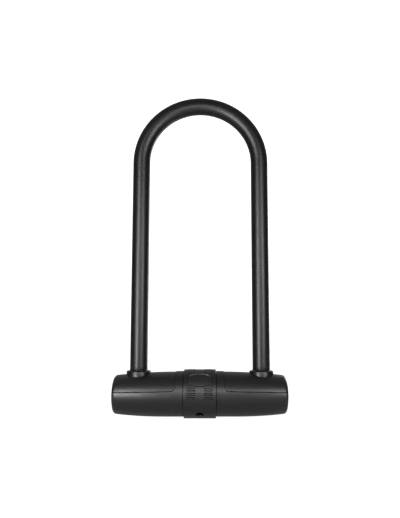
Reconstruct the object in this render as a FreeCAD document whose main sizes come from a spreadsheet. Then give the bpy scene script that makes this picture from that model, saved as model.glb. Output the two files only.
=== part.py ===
import FreeCAD, Part
import math
import os
import Sketcher

# A bicycle U lock: a vinyl covered shackle of hardened bar whose two feet drop into a crossbar,
# where a disc lock turns a cam that drives two bolts outwards into notches in the feet.
#
# Frame: X along the crossbar, Z up the legs, -Y to the front, origin at the middle of the crossbar.
# The lock frame is turned about X, so that its own Z leaves through the keyway, low at the front.
# Pieces come in left and right pairs: side is -1 for the left one and 1 for the right one.
# The closed shackle is fully home and both bolts are drawn in, as when the key has just opened it.

SIZES = {
    # shackle
    "leg_spacing": 119,
    "bar_radius": 7,
    "sleeve_radius": 8.5,
    "sleeve_gap": 0.05,
    "sleeve_bottom": 23.6,
    "arch_centre": 229,
    "foot_depth": 10,
    "foot_chamfer": 2,
    "notch_depth": 6.5,
    "notch_height": 10,
    # crossbar tube and what is pressed into its ends
    "tube_length": 150,
    "tube_outer": 17,
    "tube_bore": 14,
    "foot_clearance": 0.3,
    "insert_radius": 13.85,
    "plug_thickness": 4.5,
    "pin_radius": 1.5,
    "pin_clearance": 0.05,
    "pin_length": 33.6,
    # moulded covers
    "cover_bore": 17.1,
    "journal_radius": 21,
    "neck_radius": 21.5,
    "neck_start": 15.6,
    "neck_end": 23,
    "taper_start": 35,
    "taper_end": 80,
    "taper_drop": 2.4,
    "crown_radius": 20.95,
    "crown_start": 20,
    "crown_drop": 3.15,
    "cover_end": 83,
    "cover_end_radius": 17.05,
    "crown_end_radius": 14.9,
    "end_shoulder": 81.8,
    "cover_shoulder_radius": 18.4,
    "crown_shoulder_radius": 16.6,
    "end_wall": 75.6,
    "end_wall_bore": 12,
    "seam_at_neck": 3.9,
    "seam_at_end": 2.7,
    "seam_corner": 5,
    "seam_gap": 0.08,
    # end caps
    "cap_drop": 1.1,
    "cap_spigot": 14.1,
    "cap_spigot_start": 76,
    "cap_flange": 15.6,
    "cap_flange_start": 82.5,
    "cap_rim": 83.1,
    "cap_crown": 85,
    "cap_clearance": 0.1,
    # collars that the legs pass through
    "collar_radius": 11.7,
    "collar_spigot": 8.8,
    "collar_top": 23.3,
    "collar_shoulder": 21.9,
    "collar_lip": 8.9,
    "collar_root": 12,
    "collar_spigot_top": 20,
    # guides
    "foot_guide_length": 20,
    "foot_guide_floor": 10.6,
    "bolt_guide_start": 37,
    "bolt_guide_end": 48,
    "bolt_clearance": 0.3,
    # lock cylinder, in the lock frame
    "keyway_tilt": 140,
    "housing_radius": 9.5,
    "housing_bore": 6.6,
    "housing_back": -3,
    "housing_shoulder": 17.5,
    "housing_front": 19.4,
    "housing_nose": 7,
    "housing_lip": 5,
    "housing_lip_back": 18.5,
    "housing_clearance": 0.1,
    "barrel_radius": 6.4,
    "barrel_back": -2.9,
    "barrel_front": 18.3,
    "barrel_floor": -1,
    "cavity_radius": 5.1,
    "tang_width": 4,
    "tang_back": -4.3,
    "disc_radius": 4.9,
    "disc_thickness": 1,
    "disc_pitch": 1.5,
    "disc_start": -0.8,
    "disc_count": 11,
    "spacer_thickness": 0.4,
    "spacer_bore": 3.6,
    "key_slot_width": 2.4,
    "key_slot_length": 6.6,
    "plate_back": 16,
    "plate_front": 18.2,
    "sidebar_radius": 1,
    "sidebar_offset": 5.35,
    "sidebar_back": 1.5,
    "sidebar_length": 13,
    "sidebar_clearance": 0.2,
    "seal_outer": 9.4,
    "seal_inner": 7.1,
    "seal_back": 17.6,
    "seal_front": 18.6,
    # cam and bolts, in the lock frame
    "cam_radius": 7.2,
    "cam_front": -3.3,
    "cam_back": -5.7,
    "cam_pin_circle": 5,
    "cam_pin_radius": 1.3,
    "cam_pin_back": -9.9,
    "tang_clearance": 0.05,
    "screw_head": 2.6,
    "screw_radius": 1.2,
    "screw_tip": -1.3,
    "bolt_radius": 4.5,
    "bolt_start": 24.5,
    "bolt_tip": 51.5,
    "bolt_web_end": 29,
    "tail_front": -6.2,
    "tail_back": -9.7,
    "tail_inner": 0.6,
    "tail_outer": 8.2,
    "tail_end": 7.6,
    "tail_slot_clearance": 0.3,
    "grub_height": 6,
    "grub_start": 8,
    "grub_end": 15.2,
    "grub_socket": 0.9,
    # rotating dust band
    "band_bore": 21.3,
    "band_outer": 23.1,
    "band_half_width": 15.35,
    "band_edge": 0.5,
    "keyhole_radius": 3.75,
    "badge_tilt": 49,
    "badge_length": 23,
    "badge_height": 14,
    "badge_bore": 22,
    "badge_outer": 22.7,
    "badge_clearance": 0.1,
    "rib_start": 3.9,
    "rib_end": 12.7,
    "rib_root": 22.9,
    "rib_top": 23.45,
    "rib_width": 6.2,
    "rib_pitch": 10,
    "lower_rib": -5,
    "upper_rib": 67,
    "rib_rows": 3,
    "detent_offset": 8,
    "detent_ball": 1.1,
    "detent_ball_centre": 20.0,
    "detent_spring_start": 17.2,
    "detent_wire": 0.15,
    "detent_spring_pitch": 0.55,
    "detent_spring_height": 1.4,
    "detent_spring_radius": 0.85,
    "detent_dimple": 0.35,
    "band_travel": 60,
    # longer than any cut needs to be
    "through": 400,
}

document = FreeCAD.newDocument("u_lock")
lock = document.addObject("Spreadsheet::Sheet", "lock")
for row, (alias, number) in enumerate(SIZES.items(), start=1):
    lock.set(f"A{row}", alias)
    lock.set(f"B{row}", str(number))
    lock.setAlias(f"B{row}", alias)
document.recompute()


# ---- helpers: expressions, sketches and features ----

def value(expression):
    """The number that an expression over the sheet's cells stands for."""
    return float(lock.evalExpression(expression))


def bind(item, **expressions):
    """Bind properties of a document object to expressions over the sheet."""
    for name, expression in expressions.items():
        item.setExpression(name, expression)
    return item


def new_body(name, turned=False, half_turn=False, x="0", z="0"):
    """A body in the main frame, moved to x and z, or turned into the lock frame."""
    body = document.addObject("PartDesign::Body", name)
    body.Label = name
    rotation = FreeCAD.Rotation()
    if turned:
        rotation = FreeCAD.Rotation(FreeCAD.Vector(1, 0, 0), value("lock.keyway_tilt"))
    if half_turn:
        rotation = rotation * FreeCAD.Rotation(FreeCAD.Vector(0, 0, 1), 180)
    body.Placement = FreeCAD.Placement(FreeCAD.Vector(value(x), 0, value(z)), rotation)
    return body


def new_sketch(body, role, offset="0", tilt=None):
    """A sketch on one of the body's origin planes, raised by offset and turned about its X by tilt."""
    sketch = body.newObject("Sketcher::SketchObject", f"{body.Name}_sketch")
    plane = next(item for item in body.Origin.OriginFeatures if item.Role == role)
    sketch.AttachmentSupport = [(plane, "")]
    sketch.MapMode = "FlatFace"
    angle = value(tilt) if tilt else 0
    turn = FreeCAD.Rotation(FreeCAD.Vector(1, 0, 0), angle)
    sketch.AttachmentOffset = FreeCAD.Placement(FreeCAD.Vector(0, 0, value(offset)), turn)
    sketch.setExpression("AttachmentOffset.Base.z", offset)
    return sketch


def pin_distance(sketch, kind, geometry, point, expression):
    rule = Sketcher.Constraint(kind, -1, 1, geometry, point, value(expression))
    index = sketch.addConstraint(rule)
    sketch.setExpression(f"Constraints[{index}]", expression)


def pin_point(sketch, geometry, point, x, y):
    """Hold a point of the sketch at x and y."""
    for kind, expression in (("DistanceX", x), ("DistanceY", y)):
        pin_distance(sketch, kind, geometry, point, expression)


def set_radius(sketch, geometry, radius):
    index = sketch.addConstraint(Sketcher.Constraint("Radius", geometry, value(radius)))
    sketch.setExpression(f"Constraints[{index}]", radius)


def circle(sketch, radius, x="0", y="0"):
    centre = FreeCAD.Vector(value(x), value(y), 0)
    geometry = sketch.addGeometry(Part.Circle(centre, FreeCAD.Vector(0, 0, 1), value(radius)))
    pin_point(sketch, geometry, 3, x, y)
    set_radius(sketch, geometry, radius)
    return geometry


def outline(sketch, corners, arcs=None):
    """A closed outline through corners; arcs maps a side's number to (radius, bulges_left)."""
    arcs = arcs or {}
    points = [FreeCAD.Vector(value(x), value(y), 0) for x, y in corners]
    ends = []
    for index, start in enumerate(points):
        end = points[(index + 1) % len(points)]
        if index not in arcs:
            ends.append((sketch.addGeometry(Part.LineSegment(start, end)), 1, 2))
            continue
        radius, bulges_left = arcs[index]
        half = (end - start) * 0.5
        rise = value(radius) - math.sqrt(value(radius) ** 2 - half.Length ** 2)
        left = FreeCAD.Vector(-half.y, half.x, 0).normalize()
        middle = start + half + left * (rise if bulges_left else -rise)
        # a sketch keeps its arcs anticlockwise, so one that bulges left is drawn backwards
        if bulges_left:
            ends.append((sketch.addGeometry(Part.Arc(end, middle, start)), 2, 1))
        else:
            ends.append((sketch.addGeometry(Part.Arc(start, middle, end)), 1, 2))
        set_radius(sketch, ends[-1][0], radius)
    for index, (geometry, first, _) in enumerate(ends):
        before, _, last = ends[index - 1]
        sketch.addConstraint(Sketcher.Constraint("Coincident", before, last, geometry, first))
        pin_point(sketch, geometry, first, *corners[index])


def rectangle(sketch, x_low, x_high, y_low, y_high):
    outline(sketch, [(x_low, y_low), (x_high, y_low), (x_high, y_high), (x_low, y_high)])


def revolve(body, corners, axis="H_Axis", arcs=None, kind="Revolution"):
    """Turn an outline in the XZ plane about the body's X (H_Axis) or Z (V_Axis)."""
    sketch = new_sketch(body, "XZ_Plane")
    outline(sketch, corners, arcs)
    feature = body.newObject(f"PartDesign::{kind}", f"{body.Name}_turn")
    feature.Profile = sketch
    feature.ReferenceAxis = (sketch, [axis])
    feature.Angle = 360
    return feature


def extrude(body, sketch, length, kind="Pad", backwards=False, both_ways=False):
    """Pad along the sketch's normal, or Pocket along it; backwards goes the other way."""
    feature = body.newObject(f"PartDesign::{kind}", f"{body.Name}_{kind.lower()}")
    feature.Profile = sketch
    feature.SideType = "Symmetric" if both_ways else "One side"
    # a pocket's own direction is against the normal
    feature.Reversed = backwards != (kind == "Pocket")
    return bind(feature, Length=length)


def cut_circle(body, role, radius, x="0", y="0", offset="0", tilt=None, length="lock.through", **how):
    sketch = new_sketch(body, role, offset, tilt)
    circle(sketch, radius, x, y)
    return extrude(body, sketch, length, "Pocket", **how)


def plain_cylinder(name, radius, length, placement):
    pin = document.addObject("Part::Cylinder", name)
    pin.Label = name
    pin.Placement = placement
    return bind(pin, Radius=radius, Height=length)


def side_name(side):
    return "left" if side < 0 else "right"


def lock_turn(vector):
    """A vector of the lock frame, in the main frame."""
    return FreeCAD.Rotation(FreeCAD.Vector(1, 0, 0), value("lock.keyway_tilt")).multVec(vector)


# ---- shapes that several pieces share ----

def cover_radius(x):
    """The round lower cover's radius at x from the middle, on an arc that starts level."""
    run = f"max({x} - lock.taper_start; 0)"
    full_run = "(lock.taper_end - lock.taper_start)"
    return f"(lock.neck_radius - lock.taper_drop * pow({run} / {full_run}; 2))"


def crown_radius(x):
    """The height of the top panel's crown at x from the middle."""
    run = f"({x} - lock.crown_start)"
    full_run = "(lock.taper_end - lock.crown_start)"
    return f"(lock.crown_radius - lock.crown_drop * pow({run} / {full_run}; 2))"


def crown_sections(body, side, stations, middle="0"):
    """Circles that meet the cover flush at the seam and reach the crown at the top."""
    sketches = []
    for x, cover, crown in stations:
        drop = f"((pow({cover}; 2) - pow({crown}; 2)) / (2 * {crown} - 2 * lock.seam_at_neck))"
        sketch = new_sketch(body, "YZ_Plane", f"{side} * ({x} - {middle})")
        circle(sketch, f"{crown} + {drop}", "0", f"-1 * {drop}")
        sketches.append(sketch)
    return sketches


def crown_stations():
    """Places along the top panel up to where it starts to bend in at the crossbar's end."""
    stations = []
    for share in (0, 0.35, 0.7, 1):
        x = f"(lock.neck_end + {share} * (lock.taper_end - lock.neck_end))"
        stations.append((x, cover_radius(x), crown_radius(x)))
    return stations


def crown_loft(body, side, kind, stations, middle="0"):
    """The top panel's outer skin between stations, as a smooth solid."""
    sections = crown_sections(body, side, stations, middle)
    loft = body.newObject(f"PartDesign::{kind}", f"{body.Name}_skin")
    loft.Profile = sections[0]
    loft.Sections = sections[1:]


def seam_outline(sketch, side, gap):
    """The top panel's edge seen from the front, drawn outwards by gap."""
    corner_x = f"(lock.neck_end + lock.seam_corner)"
    across = [
        ("lock.neck_end", "2 * lock.neck_radius"),
        ("lock.neck_end", "lock.seam_at_neck + lock.seam_corner"),
        (corner_x, "lock.seam_at_neck"),
        ("lock.cap_crown", "lock.seam_at_end"),
        ("lock.cap_crown", "2 * lock.neck_radius"),
    ]
    shifts = [(gap, "0"), (gap, "0"), ("0", gap), ("0", gap), ("0", "0")]
    corners = []
    for (x, z), (x_shift, z_shift) in zip(across, shifts):
        corners.append((f"{side} * ({x} + {x_shift})", f"{z} + {z_shift}"))
    outline(sketch, corners, {1: ("lock.seam_corner + lock.seam_gap", side < 0)})


def cut_end_wall(body, side):
    """The offset bore and step that take the end cap."""
    for start, radius in (("lock.end_wall", "lock.cap_spigot"), ("lock.cap_flange_start", "lock.cap_flange")):
        cut_circle(
            body, "YZ_Plane", f"{radius} + lock.cap_clearance", "0", "-1 * lock.cap_drop",
            offset=f"{side} * {start}", backwards=side < 0,
        )


# ---- shackle ----

def u_path(body, bottom):
    """The shackle's centre line from bottom up, over the arch and down again."""
    path = new_sketch(body, "XZ_Plane")
    reach = value("lock.leg_spacing / 2")
    low = value(bottom)
    high = value("lock.arch_centre")
    left = [FreeCAD.Vector(-reach, low, 0), FreeCAD.Vector(-reach, high, 0)]
    right = [FreeCAD.Vector(reach, high, 0), FreeCAD.Vector(reach, low, 0)]
    path.addGeometry(Part.LineSegment(*left))
    path.addGeometry(Part.Arc(right[0], FreeCAD.Vector(0, high + reach, 0), left[1]))
    path.addGeometry(Part.LineSegment(*right))
    path.addConstraint(Sketcher.Constraint("Coincident", 0, 2, 1, 2))
    path.addConstraint(Sketcher.Constraint("Coincident", 1, 1, 2, 1))
    pin_point(path, 0, 1, "-lock.leg_spacing / 2", bottom)
    pin_point(path, 0, 2, "-lock.leg_spacing / 2", "lock.arch_centre")
    pin_point(path, 2, 1, "lock.leg_spacing / 2", "lock.arch_centre")
    pin_point(path, 2, 2, "lock.leg_spacing / 2", bottom)
    pin_distance(path, "DistanceY", 1, 3, "lock.arch_centre")
    return path


def u_pipe(name, bottom, radii):
    body = new_body(name)
    profile = new_sketch(body, "XY_Plane", bottom)
    for radius in radii:
        circle(profile, radius, "-lock.leg_spacing / 2")
    pipe = body.newObject("PartDesign::AdditivePipe", f"{name}_pipe")
    pipe.Profile = profile
    pipe.Spine = u_path(body, bottom)
    return body


def shackle_bar():
    body = u_pipe("shackle_bar", "-lock.foot_depth", ["lock.bar_radius"])
    document.recompute()
    foot_edges = []
    for number, edge in enumerate(body.Shape.Edges, start=1):
        if abs(edge.CenterOfMass.z + value("lock.foot_depth")) < 1e-3:
            foot_edges.append(f"Edge{number}")
    pipe = body.Tip
    chamfer = body.newObject("PartDesign::Chamfer", "foot_chamfer")
    chamfer.Base = (pipe, foot_edges)
    bind(chamfer, Size="lock.foot_chamfer")
    notches = new_sketch(body, "XZ_Plane")
    inner = "(lock.leg_spacing / 2 - lock.bar_radius)"
    half = "lock.notch_height / 2"
    # each notch opens towards the middle of the crossbar
    for side in (-1, 1):
        ends = [f"{side} * ({inner} - lock.foot_clearance)", f"{side} * ({inner} + lock.notch_depth)"]
        rectangle(notches, *ends[::side], f"-{half}", half)
    extrude(body, notches, "lock.through", "Pocket", both_ways=True)
    return body


def shackle_sleeve():
    inner = "lock.bar_radius + lock.sleeve_gap"
    return u_pipe("shackle_sleeve", "lock.sleeve_bottom", ["lock.sleeve_radius", inner])


# ---- crossbar ----

def crossbar_tube():
    body = new_body("crossbar_tube")
    half = "lock.tube_length / 2"
    revolve(body, [
        (f"-{half}", "lock.tube_bore"),
        (half, "lock.tube_bore"),
        (half, "lock.tube_outer"),
        (f"-{half}", "lock.tube_outer"),
    ])
    holes = new_sketch(body, "XY_Plane")
    for side in (-1, 1):
        circle(holes, "lock.bar_radius + lock.foot_clearance", f"{side} * lock.leg_spacing / 2")
    extrude(body, holes, "lock.through", "Pocket")
    pin_holes = new_sketch(body, "XY_Plane")
    for side in (-1, 1):
        plug_middle = f"{side} * ({half} - lock.plug_thickness / 2)"
        circle(pin_holes, "lock.pin_radius + lock.pin_clearance", plug_middle)
    extrude(body, pin_holes, "lock.through", "Pocket", both_ways=True)
    cut_circle(body, "XY_Plane", "lock.housing_radius + lock.housing_clearance", tilt="lock.keyway_tilt")
    cut_circle(
        body, "XY_Plane", "lock.pin_radius + lock.pin_clearance", "0", "lock.grub_height",
        tilt="lock.keyway_tilt + 90",
    )
    return body


def end_plug(side):
    body = new_body(f"{side_name(side)}_end_plug")
    outer = f"{side} * lock.tube_length / 2"
    inner = f"{side} * (lock.tube_length / 2 - lock.plug_thickness)"
    revolve(body, [(inner, "0"), (outer, "0"), (outer, "lock.insert_radius"), (inner, "lock.insert_radius")])
    cut_circle(
        body, "XY_Plane", "lock.pin_radius + lock.pin_clearance",
        f"{side} * (lock.tube_length - lock.plug_thickness) / 2", both_ways=True,
    )
    return body


def plug_pin(side):
    x = side * value("(lock.tube_length - lock.plug_thickness) / 2")
    foot = FreeCAD.Placement(FreeCAD.Vector(x, 0, -value("lock.pin_length / 2")), FreeCAD.Rotation())
    return plain_cylinder(f"{side_name(side)}_plug_pin", "lock.pin_radius", "lock.pin_length", foot)


def foot_guide(side):
    body = new_body(f"{side_name(side)}_foot_guide", x=f"{side} * lock.leg_spacing / 2")
    half = "lock.foot_guide_length / 2"
    revolve(body, [
        (f"-{half}", "0"),
        (half, "0"),
        (half, "lock.insert_radius"),
        (f"-{half}", "lock.insert_radius"),
    ])
    cut_circle(
        body, "XY_Plane", "lock.bar_radius + lock.foot_clearance", offset="-lock.foot_guide_floor",
    )
    cut_circle(body, "YZ_Plane", "lock.bolt_radius + lock.bolt_clearance", backwards=side > 0)
    return body


def bolt_guide(side):
    body = new_body(f"{side_name(side)}_bolt_guide")
    bore = "lock.bolt_radius + lock.bolt_clearance"
    start = f"{side} * lock.bolt_guide_start"
    end = f"{side} * lock.bolt_guide_end"
    revolve(body, [(start, bore), (end, bore), (end, "lock.insert_radius"), (start, "lock.insert_radius")])
    return body


def cover_shell(side):
    body = new_body(f"{side_name(side)}_shell")
    # the two shells meet in the middle under the dust band, whose journal they form
    profile = [
        ("lock.seam_gap", "lock.cover_bore"),
        ("lock.end_wall", "lock.cover_bore"),
        ("lock.end_wall", "lock.end_wall_bore"),
        ("lock.cover_end", "lock.end_wall_bore"),
        ("lock.cover_end", "lock.cover_end_radius"),
        ("lock.end_shoulder", "lock.cover_shoulder_radius"),
        ("lock.taper_end", "lock.neck_radius - lock.taper_drop"),
        ("lock.taper_start", "lock.neck_radius"),
        ("lock.neck_start", "lock.neck_radius"),
        ("lock.neck_start", "lock.journal_radius"),
        ("lock.seam_gap", "lock.journal_radius"),
    ]
    corners = [(f"{side} * {x}", r) for x, r in profile]
    run = "(lock.taper_end - lock.taper_start)"
    taper = f"(pow({run}; 2) + pow(lock.taper_drop; 2)) / (2 * lock.taper_drop)"
    revolve(body, corners, arcs={6: (taper, side < 0)})
    cut_end_wall(body, side)
    recess = new_sketch(body, "XZ_Plane")
    seam_outline(recess, side, "0")
    extrude(body, recess, "lock.through", "Pocket", both_ways=True)
    cut_circle(body, "XY_Plane", "lock.housing_radius + lock.housing_clearance", tilt="lock.keyway_tilt")
    if side > 0:
        cut_circle(
            body, "XZ_Plane", "lock.detent_ball + lock.housing_clearance", "lock.detent_offset",
            backwards=True,
        )
    return body


def top_panel(side):
    body = new_body(f"{side_name(side)}_top_panel")
    stations = crown_stations()
    shoulder = ("lock.end_shoulder", "lock.cover_shoulder_radius", "lock.crown_shoulder_radius")
    end = ("lock.cover_end", "lock.cover_end_radius", "lock.crown_end_radius")
    crown_loft(body, side, "AdditiveLoft", stations)
    crown_loft(body, side, "AdditiveLoft", [stations[-1], shoulder, end])
    document.recompute()
    cut_circle(
        body, "YZ_Plane", "lock.cover_bore", offset=f"{side} * lock.end_wall", backwards=side > 0,
    )
    cut_end_wall(body, side)
    # what is left of the lofted solid is the part inside the seam
    outside = new_sketch(body, "XZ_Plane")
    reach = "2 * lock.cap_crown"
    xs = [f"{side} * lock.crown_start", f"{side} * {reach}"][::side]
    rectangle(outside, *xs, f"-{reach}", reach)
    seam_outline(outside, side, "lock.seam_gap")
    extrude(body, outside, "lock.through", "Pocket", both_ways=True)
    cut_circle(
        body, "XY_Plane", "lock.collar_spigot + lock.cap_clearance", f"{side} * lock.leg_spacing / 2",
    )
    return body


def collar(side):
    body = new_body(f"{side_name(side)}_collar", x=f"{side} * lock.leg_spacing / 2")
    bore = "lock.bar_radius + lock.foot_clearance"
    revolve(body, [
        (bore, "lock.collar_root"),
        ("lock.collar_radius", "lock.collar_root"),
        ("lock.collar_radius", "lock.collar_shoulder"),
        ("lock.collar_lip", "lock.collar_top"),
        (bore, "lock.collar_top"),
    ], "V_Axis")
    crown_loft(body, side, "SubtractiveLoft", crown_stations(), "lock.leg_spacing / 2")
    revolve(body, [
        (bore, "lock.collar_root"),
        ("lock.collar_spigot", "lock.collar_root"),
        ("lock.collar_spigot", "lock.collar_spigot_top"),
        (bore, "lock.collar_spigot_top"),
    ], "V_Axis")
    cut_circle(body, "YZ_Plane", "lock.cover_bore", both_ways=True)
    return body


def end_cap(side):
    body = new_body(f"{side_name(side)}_end_cap", z="-lock.cap_drop")
    profile = [
        ("lock.cap_spigot_start", "0"),
        ("lock.cap_spigot_start", "lock.cap_spigot"),
        ("lock.cap_flange_start", "lock.cap_spigot"),
        ("lock.cap_flange_start", "lock.cap_flange"),
        ("lock.cap_rim", "lock.cap_flange"),
        ("lock.cap_crown", "0"),
    ]
    height = "(lock.cap_crown - lock.cap_rim)"
    dome = f"(pow(lock.cap_flange; 2) + pow({height}; 2)) / (2 * {height})"
    revolve(body, [(f"{side} * {x}", r) for x, r in profile], arcs={4: (dome, side > 0)})
    return body


# ---- lock cylinder ----

def cylinder_housing():
    body = new_body("cylinder_housing", turned=True)
    revolve(body, [
        ("lock.housing_bore", "lock.housing_back"),
        ("lock.housing_radius", "lock.housing_back"),
        ("lock.housing_radius", "lock.housing_shoulder"),
        ("lock.housing_nose", "lock.housing_shoulder"),
        ("lock.housing_nose", "lock.housing_front"),
        ("lock.housing_lip", "lock.housing_front"),
        ("lock.housing_lip", "lock.housing_lip_back"),
        ("lock.housing_bore", "lock.housing_lip_back"),
    ], "V_Axis")
    # one groove for the sidebar at each end of the core's quarter turn
    grooves = new_sketch(body, "XY_Plane", "lock.sidebar_back - lock.sidebar_clearance")
    circle(grooves, "lock.sidebar_radius + lock.sidebar_clearance", "lock.barrel_radius", "0")
    circle(grooves, "lock.sidebar_radius + lock.sidebar_clearance", "0", "-lock.barrel_radius")
    extrude(body, grooves, "lock.sidebar_length + 2 * lock.sidebar_clearance", "Pocket")
    cut_circle(
        body, "XZ_Plane", "lock.pin_radius + lock.pin_clearance", "0", "lock.grub_height",
        offset="lock.grub_start - lock.pin_clearance",
    )
    return body


def keyway_seal():
    body = new_body("keyway_seal", turned=True)
    revolve(body, [
        ("lock.seal_inner", "lock.seal_back"),
        ("lock.seal_outer", "lock.seal_back"),
        ("lock.seal_outer", "lock.seal_front"),
        ("lock.seal_inner", "lock.seal_front"),
    ], "V_Axis")
    return body


def housing_screw():
    """A grub screw through the back of the tube into the housing's side."""
    body = new_body("housing_screw", turned=True)
    shank = new_sketch(body, "XZ_Plane", "lock.grub_start")
    circle(shank, "lock.pin_radius", "0", "lock.grub_height")
    extrude(body, shank, "lock.grub_end - lock.grub_start")
    socket = new_sketch(body, "XZ_Plane", "lock.grub_end")
    corners = []
    for step in range(6):
        x = f"lock.grub_socket * cos({60 * step} deg)"
        z = f"lock.grub_height + lock.grub_socket * sin({60 * step} deg)"
        corners.append((x, z))
    outline(socket, corners)
    extrude(body, socket, "2 * lock.grub_socket", "Pocket", backwards=True)
    return body


def core_barrel():
    body = new_body("core_barrel", turned=True)
    revolve(body, [
        ("0", "lock.barrel_back"),
        ("lock.barrel_radius", "lock.barrel_back"),
        ("lock.barrel_radius", "lock.barrel_front"),
        ("lock.cavity_radius", "lock.barrel_front"),
        ("lock.cavity_radius", "lock.barrel_floor"),
        ("0", "lock.barrel_floor"),
    ], "V_Axis")
    tang = new_sketch(body, "XY_Plane", "lock.tang_back")
    half = "lock.tang_width / 2"
    rectangle(tang, f"-{half}", half, f"-{half}", half)
    extrude(body, tang, "lock.barrel_floor - lock.tang_back")
    cut_circle(
        body, "XY_Plane", "lock.screw_radius + lock.pin_clearance", offset="lock.tang_back",
        length="lock.screw_tip - lock.tang_back",
    )
    slot = new_sketch(body, "XY_Plane", "lock.sidebar_back - lock.sidebar_clearance")
    half_slot = "(lock.sidebar_radius + lock.sidebar_clearance)"
    rectangle(slot, "lock.spacer_bore", "lock.housing_radius", f"-{half_slot}", half_slot)
    extrude(body, slot, "lock.sidebar_length + 2 * lock.sidebar_clearance", "Pocket")
    return body


def key_slot(sketch):
    half_width = "lock.key_slot_width / 2"
    half_length = "lock.key_slot_length / 2"
    rectangle(sketch, f"-{half_length}", half_length, f"-{half_width}", half_width)


def disc_stack(name, start, thickness, slotted):
    """Equal discs on one pitch, each with the gate that the sidebar drops into."""
    body = new_body(name, turned=True)
    body.AllowCompound = True
    sketch = new_sketch(body, "XY_Plane", start)
    circle(sketch, "lock.disc_radius")
    if slotted:
        key_slot(sketch)
    else:
        circle(sketch, "lock.spacer_bore")
    extrude(body, sketch, thickness)
    cut_circle(
        body, "XY_Plane", "lock.sidebar_radius + lock.sidebar_clearance", "lock.sidebar_offset", "0",
        offset=f"{start} - lock.pin_clearance", length=f"{thickness} + 2 * lock.pin_clearance",
    )
    pattern = body.newObject("PartDesign::LinearPattern", f"{name}_pattern")
    pattern.TransformMode = "Whole shape"
    pattern.Direction = (sketch, ["N_Axis"])
    pattern.Occurrences = int(value("lock.disc_count"))
    bind(pattern, Length="lock.disc_pitch * (lock.disc_count - 1)")
    body.Tip = pattern
    return body


def front_hardplate():
    """The hardened plate in front of the discs, with the keyway through it."""
    body = new_body("front_hardplate", turned=True)
    sketch = new_sketch(body, "XY_Plane", "lock.plate_back")
    circle(sketch, "lock.disc_radius")
    key_slot(sketch)
    extrude(body, sketch, "lock.plate_front - lock.plate_back")
    return body


def sidebar():
    start = FreeCAD.Vector(value("lock.sidebar_offset"), 0, value("lock.sidebar_back"))
    turn = FreeCAD.Rotation(FreeCAD.Vector(1, 0, 0), value("lock.keyway_tilt"))
    placement = FreeCAD.Placement(lock_turn(start), turn)
    return plain_cylinder("sidebar", "lock.sidebar_radius", "lock.sidebar_length", placement)


def cam_pin_place(number):
    """The drawn-in place of a cam pin: the right bolt's pin is number 0 and the left bolt's number 1."""
    angle = f"{135 + 180 * number} deg"
    return f"lock.cam_pin_circle * cos({angle})", f"lock.cam_pin_circle * sin({angle})"


def drive_cam():
    body = new_body("drive_cam", turned=True)
    disc = new_sketch(body, "XY_Plane", "lock.cam_back")
    circle(disc, "lock.cam_radius")
    half = "(lock.tang_width / 2 + lock.tang_clearance)"
    rectangle(disc, f"-{half}", half, f"-{half}", half)
    extrude(body, disc, "lock.cam_front - lock.cam_back")
    pins = new_sketch(body, "XY_Plane", "lock.cam_pin_back")
    for number in (0, 1):
        circle(pins, "lock.cam_pin_radius", *cam_pin_place(number))
    extrude(body, pins, "lock.cam_front - lock.cam_pin_back")
    revolve(body, [
        ("0", "lock.cam_back - 1"),
        ("lock.screw_head + lock.tang_clearance", "lock.cam_back - 1"),
        ("lock.screw_head + lock.tang_clearance", "lock.cam_back"),
        ("0", "lock.cam_back + lock.screw_head"),
    ], "V_Axis", kind="Groove")
    return body


def cam_screw():
    """The countersunk screw that holds the cam on the core's tang."""
    body = new_body("cam_screw", turned=True)
    neck = "lock.cam_back + lock.screw_head - lock.screw_radius"
    revolve(body, [
        ("0", "lock.cam_back"),
        ("lock.screw_head - lock.tang_clearance", "lock.cam_back"),
        ("lock.screw_radius", neck),
        ("lock.screw_radius", "lock.screw_tip"),
        ("0", "lock.screw_tip"),
    ], "V_Axis")
    slot = new_sketch(body, "XY_Plane", "lock.cam_back")
    rectangle(slot, "-lock.screw_head", "lock.screw_head", "-lock.screw_radius / 3", "lock.screw_radius / 3")
    extrude(body, slot, "lock.screw_radius / 2", "Pocket")
    return body


def lock_bolt(side):
    """A round-nosed bolt whose flat tail passes behind the cam; the left one is the right one turned."""
    body = new_body(f"{side_name(side)}_bolt", turned=True, half_turn=side < 0)
    nose = new_sketch(body, "YZ_Plane", "lock.bolt_start")
    circle(nose, "lock.bolt_radius")
    extrude(body, nose, "lock.bolt_tip - lock.bolt_start")
    web = new_sketch(body, "YZ_Plane", "lock.bolt_start")
    rectangle(web, "-lock.bolt_radius / 2", "lock.tail_outer", "lock.tail_back", "lock.bolt_radius / 2")
    extrude(body, web, "lock.bolt_web_end - lock.bolt_start")
    tail = new_sketch(body, "YZ_Plane", "-lock.tail_end")
    rectangle(tail, "lock.tail_inner", "lock.tail_outer", "lock.tail_back", "lock.tail_front")
    extrude(body, tail, "lock.bolt_web_end + lock.tail_end")
    slot = new_sketch(body, "XY_Plane")
    x, low = cam_pin_place(0)
    room = "(lock.cam_pin_radius + lock.tail_slot_clearance)"
    rectangle(slot, f"{x} - {room}", f"{x} + {room}", f"{low} - {room}", f"lock.cam_pin_circle + {room}")
    extrude(body, slot, "lock.through", "Pocket", backwards=True)
    return body


# ---- dust band ----

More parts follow.
